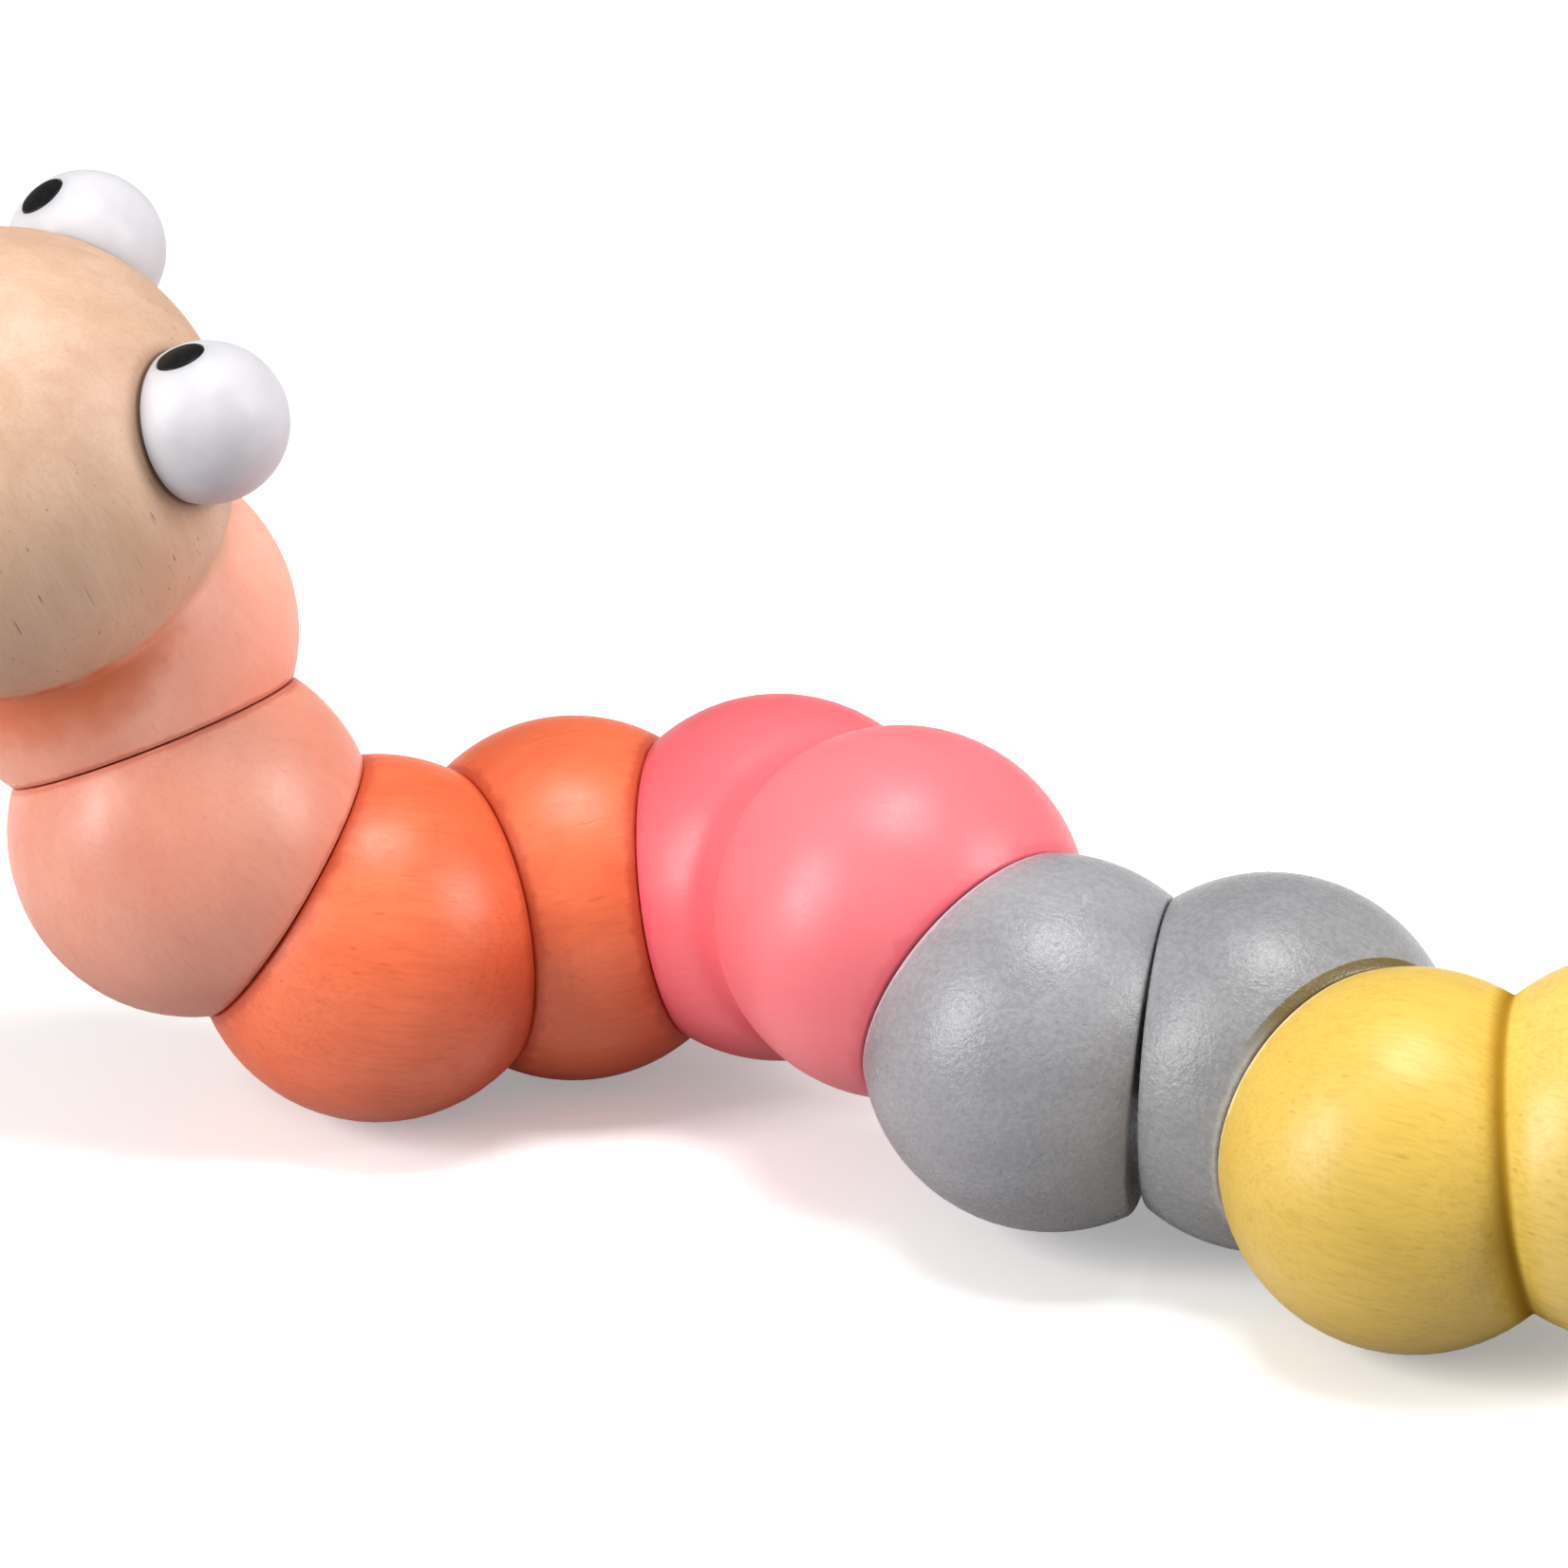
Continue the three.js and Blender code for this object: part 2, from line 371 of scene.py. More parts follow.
def facing_out(vertices, faces):
    """The faces, turned over if they enclose a negative volume."""
    volume = 0
    for face in faces:
        first = vertices[face[0]]
        for one, two in zip(face[1:-1], face[2:]):
            volume += np.dot(first, np.cross(vertices[one], vertices[two]))
    return faces if volume > 0 else [face[::-1] for face in faces]


def column_object(name, first_pole, rows, last_pole, material, extra=None):
    """A closed piece from its rows of (points, inside)."""
    columns = len(rows[0][0])
    vertices = np.vstack([first_pole[None]] + [points for points, _ in rows] + [last_pole[None]])
    inside = [rows[0][1]]
    for points, value in rows:
        inside.extend([value] * len(points))
    inside.append(rows[-1][1])
    faces = facing_out(vertices, column_faces(len(rows), columns))
    attributes = {"inside": inside}
    for key, measure in (extra or {}).items():
        attributes[key] = measure(vertices)
    return make_object(name, vertices, faces, material, attributes)


def rim_distance(ends):
    """A function that gives each vertex's distance over the ball from the nearest rim."""

    def measure(vertices):
        nearest = np.full(len(vertices), np.inf)
        for end in ends:
            arm = vertices - end.centre
            cosine = (arm @ end.axis) / np.maximum(np.linalg.norm(arm, axis=1), TINY)
            angle = np.arccos(np.clip(cosine, -1, 1)) - math.acos(end.contact())
            nearest = np.minimum(nearest, np.abs(angle) * end.radius)
        return nearest

    return measure


def crease_distance(crease):
    """A function that gives each vertex's distance past the valley, along the crease's axis."""
    valley = crease.first + crease.axis * crease.along

    def measure(vertices):
        return (vertices - valley) @ crease.axis

    return measure


def on_ball(centre, radius, rows):
    return [(centre + radius * directions, 0) for directions in rows]


def single_ball(name, before, after, material, worn, extra):
    """A ball with a flat face at each end. worn, if any, rounds the second rim by spoke."""
    crossing = Crossing(before.axis, before.contact(), after.axis, after.contact())
    radii = [crossing.circle_radius(end.axis, end.contact()) for end in (before, after)]
    turn = np.linspace(0, 2 * np.pi, BALL_COLUMNS, endpoint=False)
    directions = crossing.lift(math.sqrt(radii[0] * radii[1]) * np.exp(1j * turn))
    made = []
    edges = []
    for end, radius in zip((before, after), radii):
        nominal = crossing.carry(directions, radius)
        spokes = spokes_to(nominal, np.zeros(3), end.axis)
        fillet = worn(spokes) if worn and end is after else end.fillet
        cosine = np.broadcast_to(end.contact(fillet), len(spokes))
        sine = np.sqrt(1 - cosine**2)
        edges.append(ring(np.zeros(3), end.axis, spokes, sine, cosine))
        made.append(end.rows(spokes, fillet))
    over = on_ball(before.centre, before.radius, crossing.rows(*edges, BALL_COLUMNS))
    rows = made[0][::-1] + over + made[1]
    measures = {"rim_distance": rim_distance((before, after)), **extra}
    return column_object(name, before.floor(), rows, after.floor(), material, measures)


def over_to_end(crease_axis, crease_cosine, spokes, end, columns):
    """Rows over a ball from its valley, which they leave out, to the bottom of its bore."""
    crossing = Crossing(crease_axis, crease_cosine, end.axis, end.contact())
    sine = math.sqrt(1 - crease_cosine**2)
    start = ring(np.zeros(3), crease_axis, spokes, sine, crease_cosine)
    finish = crossing.carry(start, crossing.circle_radius(end.axis, end.contact()))
    over = on_ball(end.centre, end.radius, crossing.rows(start, finish, columns))
    return over + end.rows(spokes_to(finish, np.zeros(3), end.axis))


def over_to_pole(centre, radius, axis, cosine, spokes, count):
    """Rows over a ball from its valley, which they leave out, toward its far pole."""
    angles = np.linspace(math.acos(cosine), math.pi, count + 2)[1:-1]
    directions = []
    for angle in angles:
        directions.append(ring(np.zeros(3), axis, spokes, math.sin(angle), math.cos(angle)))
    return on_ball(centre, radius, directions)


def distances(ends, crease):
    """What the paints read from a piece with a valley."""
    return {"rim_distance": rim_distance(ends), "crease_distance": crease_distance(crease)}


def ball_and_valley(before, centre, fillet):
    """(crease, spokes, rows) of the first ball of a pair and the valley to the second's centre."""
    crease = Crease(before.centre, BALL_R, centre, BALL_R, fillet)
    spokes = even_spokes(crease.axis, BALL_COLUMNS)
    up = over_to_end(crease.axis, crease.cosines()[0], spokes, before, BALL_COLUMNS)
    return crease, spokes, up[::-1] + crease.rows(spokes)


def ball_pair(name, before, after, material):
    """Two balls that run into each other, with a flat face at each end."""
    crease, spokes, rows = ball_and_valley(before, after.centre, PINK_CREASE_FILLET)
    rows += over_to_end(-crease.axis, crease.cosines()[1], spokes, after, BALL_COLUMNS)
    measures = distances((before, after), crease)
    return column_object(name, before.floor(), rows, after.floor(), material, measures)


def tail_pair(name, before, last, material):
    """Two balls that run into each other, with a flat face at one end and a round far end."""
    crease, spokes, rows = ball_and_valley(before, last, TAIL_CREASE_FILLET)
    rows += over_to_pole(last, BALL_R, -crease.axis, crease.cosines()[1], spokes, TAIL_ROWS)
    measures = distances((before,), crease)
    pole = last + BALL_R * crease.axis
    return column_object(name, before.floor(), rows, pole, material, measures)


def under_head_shade(crease):
    """A function that gives 1 where the valley lies under the head's front, 0 on its right:
    where the neck's painted shade goes.
    """

    def measure(vertices):
        right = spokes_to(vertices, crease.first, crease.axis)[:, 0]
        return np.clip(HEAD_SHADE_AHEAD - HEAD_SHADE_FALL * right, 0, 1)

    return measure


def flattened(points, centre, seats):
    """Points of the head, brought in to the flats under the eyes, with a soft edge."""
    arms = points - centre
    reach = np.linalg.norm(arms, axis=1)
    for seat in seats:
        cosine = np.maximum((arms @ seat) / reach, SEAT_REACH)
        flat = SEAT_AT / cosine
        share = np.clip(0.5 + 0.5 * (flat - reach) / SEAT_SOFTNESS, 0, 1)
        blend = flat + (reach - flat) * share - SEAT_SOFTNESS * share * (1 - share)
        arms = arms * (blend / reach)[:, None]
        reach = blend
    return centre + arms


def head_piece(name, head, after, seats, material):
    """The head and the neck ball, with flats for the eyes and a flat face at the neck's end."""
    crease = Crease(head, HEAD_R, after.centre, BALL_R, NECK_FILLET)
    spokes = even_spokes(crease.axis, HEAD_COLUMNS)
    first, second = crease.cosines()
    up = over_to_pole(head, HEAD_R, crease.axis, first, spokes, HEAD_ROWS)
    up = [(flattened(points, head, seats), inside) for points, inside in up]
    down = over_to_end(-crease.axis, second, spokes, after, HEAD_COLUMNS)
    rows = up[::-1] + crease.rows(spokes) + down
    measures = {**distances((after,), crease), "under_head_shade": under_head_shade(crease)}
    pole = head - HEAD_R * crease.axis
    return column_object(name, pole, rows, after.floor(), material, measures)


def pupil_hole_profile():
    """(radial, axial) from the bead's surface into the hole for the pupil."""
    out = PUPIL_HOLE_R + PUPIL_RIM_FILLET
    along = math.sqrt((EYE_R - PUPIL_RIM_FILLET) ** 2 - out**2)
    turns = np.linspace(math.atan2(out, along), -math.pi / 2, RIM_STEPS)
    made = []
    for turn in turns:
        radial = out + PUPIL_RIM_FILLET * math.sin(turn)
        made.append((radial, along + PUPIL_RIM_FILLET * math.cos(turn)))
    made.append((PUPIL_HOLE_R, PUPIL_FLOOR + FLOOR_BEVEL))
    made.append((PUPIL_HOLE_R - FLOOR_BEVEL, PUPIL_FLOOR))
    return made


def fan(first, first_angle, second, second_angle, count, columns):
    """Rings over a ball from a circle about one axis to a circle about another.

    They are evenly spaced on both sides of the ball, so they open like a fan.
    """
    across = unit(second - (second @ first) * first)
    side = np.cross(first, across)
    apart = math.acos(first @ second)
    near = np.linspace(first_angle, apart - second_angle, count)
    far = np.linspace(-first_angle, apart + second_angle - 2 * math.pi, count)
    turn = np.linspace(0, 2 * np.pi, columns, endpoint=False)[:, None]
    made = []
    for middle, reach in zip((near + far) / 2, (near - far) / 2):
        axis = math.cos(middle) * first + math.sin(middle) * across
        out = math.cos(middle) * across - math.sin(middle) * first
        spokes = np.cos(turn) * out + np.sin(turn) * side
        made.append(ring(np.zeros(3), axis, spokes, math.sin(reach), math.cos(reach)))
    return made


def eye_bead(name, seat_end, gaze, material):
    """A bead with a flat toward the head, a hole for its dowel and a hole for its pupil."""
    profile = pupil_hole_profile()
    seat_angle = math.acos(seat_end.contact())
    gaze_angle = math.atan2(*profile[0])
    over = fan(seat_end.axis, seat_angle, gaze, gaze_angle, EYE_ROWS, EYE_COLUMNS)
    rows = seat_end.rows(spokes_to(over[0], np.zeros(3), seat_end.axis))[::-1]
    rows += on_ball(seat_end.centre, EYE_R, over[1:-1])
    spokes = spokes_to(over[-1], np.zeros(3), gaze)
    for radial, axial in profile:
        rows.append((ring(seat_end.centre, gaze, spokes, radial, axial), 0))
    floor = seat_end.centre + gaze * PUPIL_FLOOR
    return column_object(name, seat_end.floor(), rows, floor, material)


def pupil_plug(name, centre, gaze, material):
    """A black plug, its end turned to the round of the bead and its edge softened."""
    spokes = even_spokes(gaze, EYE_COLUMNS // 2)
    crown = EYE_R - PUPIL_SUNK
    out = PUPIL_R - PUPIL_FILLET
    along = math.sqrt((crown - PUPIL_FILLET) ** 2 - out**2)
    base = PUPIL_FLOOR + GLUE_LINE
    profile = [(out, base), (PUPIL_R, base + FLOOR_BEVEL)]
    turns = np.linspace(math.pi / 2, math.atan2(out, along), RIM_STEPS)
    for turn in turns:
        radial = out + PUPIL_FILLET * math.sin(turn)
        profile.append((radial, along + PUPIL_FILLET * math.cos(turn)))
    edge = profile[-1][0]
    for share in np.linspace(1, 0, PUPIL_RINGS)[1:-1]:
        profile.append((edge * share, math.sqrt(crown**2 - (edge * share) ** 2)))
    rows = [(ring(centre, gaze, spokes, radial, axial), 0) for radial, axial in profile]
    return column_object(name, centre + gaze * base, rows, centre + gaze * crown, material)


# ------ where everything is


def millimetre_box(node):
    low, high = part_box(node)
    return np.array(low) / MM, np.array(high) / MM


def joint_frames():
    """(middle, direction toward the tail) of each joint in millimetres, head to tail."""
    places = [np.array(joint["pos_m"]) / MM for joint in frame["joints"]]
    tail_middle = sum(millimetre_box("tail_pair_yellow")) / 2
    found = []
    for joint, place, following in zip(frame["joints"], places, places[1:] + [tail_middle]):
        axis = unit(joint["axis"])
        found.append((place, axis if axis @ (following - place) > 0 else -axis))
    return found


def end_before(joint):
    """The end of the piece on the head's side of a joint, which holds the socket."""
    place, axis = joint
    return End(place - axis * PITCH / 2, axis, socket)


def end_after(joint):
    """The end of the piece on the tail's side of a joint, which holds the pin."""
    place, axis = joint
    return End(place + axis * PITCH / 2, -axis, anchor)


def head_centre():
    low, high = millimetre_box("head_and_neck")
    return np.array([low[0] + HEAD_R, low[1] + HEAD_R, high[2] - HEAD_R])


def other_ball(node, known):
    """The centre of a pair's other ball, from the pair's box and the ball that is known."""
    low, high = millimetre_box(node)
    centre = []
    for axis in range(3):
        ends = (low[axis] + BALL_R, high[axis] - BALL_R)
        centre.append(max(ends, key=lambda place: abs(place - known[axis])))
    return np.array(centre)


def bead_centre(node, head):
    """The centre of an eye bead: the sides of its box that face away from the head are whole."""
    low, high = millimetre_box(node)
    outward = (low + high) / 2 > head
    return np.where(outward, high - EYE_R, low + EYE_R)


JOINTS = joint_frames()
HEAD = head_centre()


# ------ colours and paints


def colour(red, green, blue):
    """A colour as it is seen on a screen, 0 to 255, turned linear."""
    made = []
    for value in (red, green, blue):
        share = value / 255
        made.append(share / 12.92 if share <= 0.04045 else ((share + 0.055) / 1.055) ** 2.4)
    return (*made, 1.0)


def thicker(tone, coats, share=1.0):
    """The colour of a paint laid on this many times as thick, and darker by share."""
    return (*(share * channel**coats for channel in tone[:3]), 1.0)


WHITE = (1.0, 1.0, 1.0, 1.0)

WOOD_LIGHT = colour(221, 184, 157)
WOOD_MID = colour(209, 168, 140)
WOOD_WARM = colour(206, 160, 134)
# A greenish tone for the painted shade at the foot of the head.
WOOD_FOOT_SHADE = colour(198, 168, 136)
WOOD_FIBRE = colour(186, 148, 118)
WOOD_FLECK = colour(104, 76, 58)
RAW_LIGHT = colour(168, 134, 100)
RAW_DARK = colour(128, 92, 64)
# The painted shade of the gap by the yellow pair, tinted by the yellow ball.
GAP_SHADE_TONE = colour(108, 93, 55)
# The painted shadow on the head round the eye beads.
BEAD_SHADOW = colour(112, 78, 58)
# The painted shade on the neck under the head.
NECK_PAINTED_SHADE = colour(211, 108, 66)
SPECKLE_LIGHT = colour(206, 205, 208)
EYE_WHITE = colour(211, 209, 213)
EYE_COOL = colour(204, 202, 207)
PUPIL_BLACK = colour(8, 7, 9)
PUPIL_WORN = colour(44, 42, 46)
NYLON_LIGHT = colour(236, 230, 214)
NYLON_DARK = colour(218, 210, 190)
STEEL = colour(196, 196, 200)
SPRING_STEEL = colour(150, 152, 160)
FLOOR_BOUNCE = colour(150, 150, 153)


class Rim:
    """The edge of a flat face in a colour of its own: its colour, how much, how wide. It is rubbed paint on
    some rims and painted shade along the seam on others. On one rim it is worn paint with a painted highlight.
    """

    def __init__(self, tone, share, width):
        self.tone = tone
        self.share = share
        self.width = width


class Paint:
    """A paint in two tones over beech, which shows through it by show.

    On a pair of balls the first ball has the deep tone. The valley is darkened, partly by gathered paint
    and partly by painted shade, by the share given, and this fades over the distance given on the second ball.
    """

    def __init__(self, light, deep, show, rim, valley_shade_share=0.0, valley_shade_fade=0.0):
        self.light = light
        self.deep = deep
        self.show = show
        self.rim = rim
        self.valley_shade_share = valley_shade_share
        self.valley_shade_fade = valley_shade_fade


# Painted shade along the seams: the dark red salmon rims and the deep orange and pink rims. The rose rim of the
# front grey ball is worn paint with a painted highlight, tinted by the pink ball.
SALMON_SEAM_SHADE = Rim(colour(196, 84, 62), 0.5, 0.7)
ORANGE_RIM_SHADE = Rim(colour(192, 66, 34), 0.6, 1.9)
PINK_RIM_SHADE = Rim(colour(222, 78, 98), 0.5, 2.0)
ROSE_RIM_WEAR_AND_GLINT = Rim(colour(222, 192, 200), 0.65, 0.8)
GREY_RIM = Rim(colour(192, 186, 180), 0.5, 0.8)
YELLOW_RIM = Rim(colour(250, 236, 194), 0.9, 1.1)

# The neck's salmon and the ball's salmon are lit and shaded copies of one paint, and the rear orange is a lit copy
# of the front orange: painted light.
NECK_SALMON_LIT = Paint(colour(252, 184, 160), colour(246, 168, 143), 0.4, SALMON_SEAM_SHADE)
SALMON = Paint(colour(234, 160, 136), colour(227, 144, 120), 0.4, SALMON_SEAM_SHADE)
ORANGE_FRONT = Paint(colour(248, 122, 78), colour(240, 107, 63), 0.9, ORANGE_RIM_SHADE)
ORANGE_REAR_LIT = Paint(colour(254, 129, 84), colour(247, 114, 69), 0.7, ORANGE_RIM_SHADE)
# The last two numbers of the pink and yellow paints darken their valleys: partly gathered paint, partly painted
# shade.
PINK = Paint(colour(248, 123, 130), colour(244, 104, 112), 0.15, PINK_RIM_SHADE, 0.12, 3.0)
GREY_FRONT = Paint(colour(159, 158, 161), colour(144, 143, 147), 0.35, ROSE_RIM_WEAR_AND_GLINT)
GREY_REAR = Paint(colour(149, 149, 151), colour(135, 135, 137), 0.35, GREY_RIM)
YELLOW = Paint(colour(238, 203, 106), colour(226, 187, 78), 1.0, YELLOW_RIM, 0.9, 0.8)

# Where the flecks of the head, and the painted shade at its foot, stop along its grain, from the origin of its
# coordinates.
FLECKS_FROM = 79.0
FLECKS_TO = 90.0

# The half thickness of a fleck or a scratch, in cells.
DASH_RADIUS = 0.2

# How far the painted shade on the neck under the head reaches, and how much further in front of the head.
NECK_SHADE_LEAST = 1.5
NECK_SHADE_MORE = 7.0

# The strip of painted shade along the rim by the yellow pair: how wide it is, and where it has faded out.
GAP_SHADE_FULL = 0.75
GAP_SHADE_END = 0.9

# How deep light goes into the lacquer of a bead.
BEAD_DEPTH = 5.0


# ------ materials


class Shader:
    """A material under construction: each method adds a node and returns its output."""

    def __init__(self, name):
        self.material = bpy.data.materials.new(name)
        self.material.use_nodes = True
        self.tree = self.material.node_tree
        self.surface = self.tree.nodes["Principled BSDF"]

    def add(self, kind, inputs=None, **settings):
        node = self.tree.nodes.new(kind)
        for key, value in settings.items():
            setattr(node, key, value)
        for key, value in (inputs or {}).items():
            self.put(node.inputs[key], value)
        return node

    def put(self, socket_in, value):
        if isinstance(value, bpy.types.NodeSocket):
            self.tree.links.new(value, socket_in)
        else:
            socket_in.default_value = value

    def set(self, **values):
        for key, value in values.items():
            self.put(self.surface.inputs[key.replace("_", " ")], value)

    def math(self, operation, first, second=0.0):
        return self.add("ShaderNodeMath", {0: first, 1: second}, operation=operation).outputs[0]

    def times(self, first, second):
        return self.math("MULTIPLY", first, second)

    def mix(self, share, first, second):
        inputs = {0: share, 6: first, 7: second}
        return self.add("ShaderNodeMix", inputs, data_type="RGBA").outputs[2]

    def range(self, value, low, high, to_low=0.0, to_high=1.0):
        inputs = {"Value": value, "From Min": low, "From Max": high, "To Min": to_low, "To Max": to_high}
        node = self.add("ShaderNodeMapRange", inputs, interpolation_type="SMOOTHSTEP")
        return node.outputs["Result"]

    def attribute(self, name):
        return self.add("ShaderNodeAttribute", attribute_name=name).outputs["Fac"]

    def scaled(self, vector, scale):
        inputs = {0: vector, 1: scale}
        return self.add("ShaderNodeVectorMath", inputs, operation="MULTIPLY").outputs[0]

    def noise(self, place, across, along=None, detail=2.0, roughness=0.5, distortion=0.0):
        """Noise with this many cells to the millimetre across the grain and along it."""
        inputs = {"Vector": self.scaled(place, (across, across, along or across)), "Scale": 1.0}
        inputs.update({"Detail": detail, "Roughness": roughness, "Distortion": distortion})
        return self.add("ShaderNodeTexNoise", inputs).outputs["Fac"]

    def object_place(self):
        return self.add("ShaderNodeTexCoord").outputs["Object"]

    def along_grain(self, grain, offset):
        """Coordinates in millimetres with Z along the grain."""
        turn = Vector(grain).rotation_difference(Vector((0, 0, 1))).to_euler()
        inputs = {"Vector": self.object_place(), "Rotation": turn, "Scale": (1 / MM,) * 3}
        inputs["Location"] = (offset, -offset, offset / 2)
        return self.add("ShaderNodeMapping", inputs).outputs["Vector"]

    def bump(self, height, strength, distance, normal=None):
        inputs = {"Height": height, "Strength": strength, "Distance": distance * MM}
        if normal is not None:
            inputs["Normal"] = normal
        return self.add("ShaderNodeBump", inputs).outputs["Normal"]


def dashes(shader, place, across, along, chance):
    """Short marks along the grain, 0 to 1. across and along are cells to the millimetre."""
    sway = shader.noise(place, 0.12, detail=1.0)
    bent = shader.add("ShaderNodeVectorMath", {0: place, 1: sway}, operation="ADD").outputs[0]
    inputs = {"Vector": shader.scaled(bent, (across, across, along)), "Scale": 1.0}
    cells = shader.add("ShaderNodeTexVoronoi", inputs).outputs
    shape = shader.range(cells["Distance"], 0.3 * DASH_RADIUS, DASH_RADIUS, 1.0, 0.0)
    drawn = shader.add("ShaderNodeSeparateColor", {0: cells["Color"]}).outputs[0]
    return shader.times(shape, shader.range(drawn, 1 - chance, 1.0))


def lathe_marks(shader, turning):
    """Faint uneven rings left by turning, in patches: 0 to 1."""
    place = shader.along_grain(turning, 1.0)
    rings = shader.noise(place, 0.04, 1.5, detail=3.0, roughness=0.7)
    patch = shader.noise(place, 0.1, detail=1.0)
    return shader.times(shader.range(rings, 0.5, 0.7), shader.range(patch, 0.45, 0.65))


def bare_wood(shader, place):
    """(colour, height) of clear-lacquered beech, its flecks and a greenish painted shade toward the foot of the
    grain.
    """
    streaks = shader.noise(place, 0.34, 0.07, detail=4.0, distortion=0.5)
    fibres = shader.noise(place, 2.8, 0.2, detail=4.0, roughness=0.62)
    flecks = dashes(shader, place, across=1.9, along=0.055, chance=0.75)
    height = shader.add("ShaderNodeSeparateXYZ", {0: place}).outputs[2]
    foot = shader.range(height, FLECKS_FROM, FLECKS_TO, 1.0, 0.0)
    tone = shader.mix(shader.range(streaks, 0.3, 0.7), WOOD_LIGHT, WOOD_MID)
    cloud = shader.noise(place, 0.1, 0.05, detail=3.0)
    tone = shader.mix(shader.range(cloud, 0.4, 0.68, 0.0, 0.45), tone, WOOD_WARM)
    # Painted shade, greenish, toward the foot.
    tone = shader.mix(shader.times(foot, 0.3), tone, WOOD_FOOT_SHADE)
    tone = shader.mix(shader.range(fibres, 0.4, 0.75, 0.0, 0.35), tone, WOOD_FIBRE)
    seen = shader.times(flecks, shader.range(foot, 0.0, 0.7, 0.12, 0.85))
    tone = shader.mix(seen, tone, WOOD_FLECK)
    return tone, shader.math("SUBTRACT", shader.times(fibres, 0.35), seen)


def two_tones(shader, place, paint):
    """The paint's two tones: in soft clouds, or on a pair of balls mostly by ball."""
    share = shader.range(shader.noise(place, 0.11, 0.06, detail=3.0), 0.3, 0.72)
    if paint.valley_shade_share:
        first = shader.range(shader.attribute("crease_distance"), -5.0, 5.0, 0.75, 0.0)
        share = shader.math("ADD", first, shader.times(share, 0.25))
    return shader.mix(share, paint.light, paint.deep)


def painted_wood(shader, place, turning, paint):
    """(colour, height) of a thin satin paint, with the grain of the beech showing through."""
    tone = two_tones(shader, place, paint)
    dark = thicker(paint.deep, 1.2, 0.65)
    streaks = shader.noise(place, 0.9, 0.13, detail=4.0, roughness=0.6, distortion=0.3)
    tone = shader.mix(shader.range(streaks, 0.45, 0.75, 0.0, 0.22 * paint.show), tone, dark)
    fibres = shader.noise(place, 2.8, 0.22, detail=4.0, roughness=0.62)
    tone = shader.mix(shader.range(fibres, 0.42, 0.75, 0.0, 0.32 * paint.show), tone, dark)
    turned = shader.times(lathe_marks(shader, turning), 0.16 * paint.show)
    tone = shader.mix(turned, tone, dark)
    flecks = dashes(shader, place, across=0.9, along=0.14, chance=0.9)
    tone = shader.mix(shader.times(flecks, 0.45 * paint.show), tone, dark)
    return tone, shader.math("SUBTRACT", shader.times(fibres, 0.5), flecks)


def valley_shade(shader, tone, paint):
    """Gathered paint and painted shade in the valley between two balls, darkest on the first ball's side."""
    past = shader.attribute("crease_distance")
    near = shader.range(past, -1.7, -0.1, 0.0, paint.valley_shade_share)
    near = shader.times(near, shader.range(past, 0.0, paint.valley_shade_fade, 1.0, 0.0))
    return shader.mix(near, tone, thicker(paint.deep, 1.6, 0.6))


def dull_crease(shader):
    """No gloss in the valley between two balls, where the paint gathers and dries matt."""
    away = shader.math("ABSOLUTE", shader.attribute("crease_distance"))
    shader.set(Specular_IOR_Level=shader.range(away, 1.2, 3.2, 0.0, 0.5))


def paint_texture(shader, place):
    """The fine unevenness of brushed and sanded paint."""
    fine = shader.noise(place, 3.2, detail=3.0, roughness=0.6)
    broad = shader.noise(place, 0.5, 0.3)
    return shader.math("ADD", fine, shader.times(broad, 0.6))


def rims_and_gap_shade(shader, place, tone, rim):
    """The rims in their own colour, and a painted shade, tinted by the yellow ball, on the strip at the top of
    the grey rim by the tail.
    """
    patch = shader.noise(place, 0.6, detail=3.0)
    reach = shader.range(patch, 0.35, 0.75, 0.4 * rim.width, rim.width)
    distance = shader.attribute("rim_distance")
    away = shader.math("DIVIDE", distance, reach)
    tone = shader.mix(shader.range(away, 0.0, 1.0, rim.share, 0.0), tone, rim.tone)
    strip = shader.range(distance, GAP_SHADE_FULL, GAP_SHADE_END, 1.0, 0.0)
    # Painted shade of the gap at the top of the rim by the yellow pair.
    return shader.mix(shader.times(strip, shader.attribute("gap_shade")), tone, GAP_SHADE_TONE)


def finish_wood(shader, place, tone, height, rim, roughness, relief):
    """Raw wood inside the bores, worn paint and painted shade on the rims, gloss and relief."""
    raw = shader.mix(shader.noise(place, 1.2, 0.2, detail=3.0), RAW_LIGHT, RAW_DARK)
    tone = rims_and_gap_shade(shader, place, tone, rim)
    tone = shader.mix(shader.attribute("inside"), tone, raw)
    skin = paint_texture(shader, place)
    rough = shader.range(skin, 0.55, 1.15, roughness - 0.05, roughness + 0.07)
    normal = shader.bump(skin, relief, 0.05)
    normal = shader.bump(height, 0.5 * relief, 0.08, normal)
    shader.set(Base_Color=tone, Roughness=rough, Normal=normal, Specular_IOR_Level=0.5)


def painted_material(name, grain, turning, offset, paint):
    shader = Shader(name)
    place = shader.along_grain(grain, offset)
    tone, height = painted_wood(shader, place, turning, paint)
    if paint.valley_shade_share:
        # Darkens the valley of a pair: gathered paint and painted shade.
        tone = valley_shade(shader, tone, paint)
    finish_wood(shader, place, tone, height, paint.rim, roughness=0.41, relief=0.35)
    if paint.valley_shade_share:
        dull_crease(shader)
    return shader.material


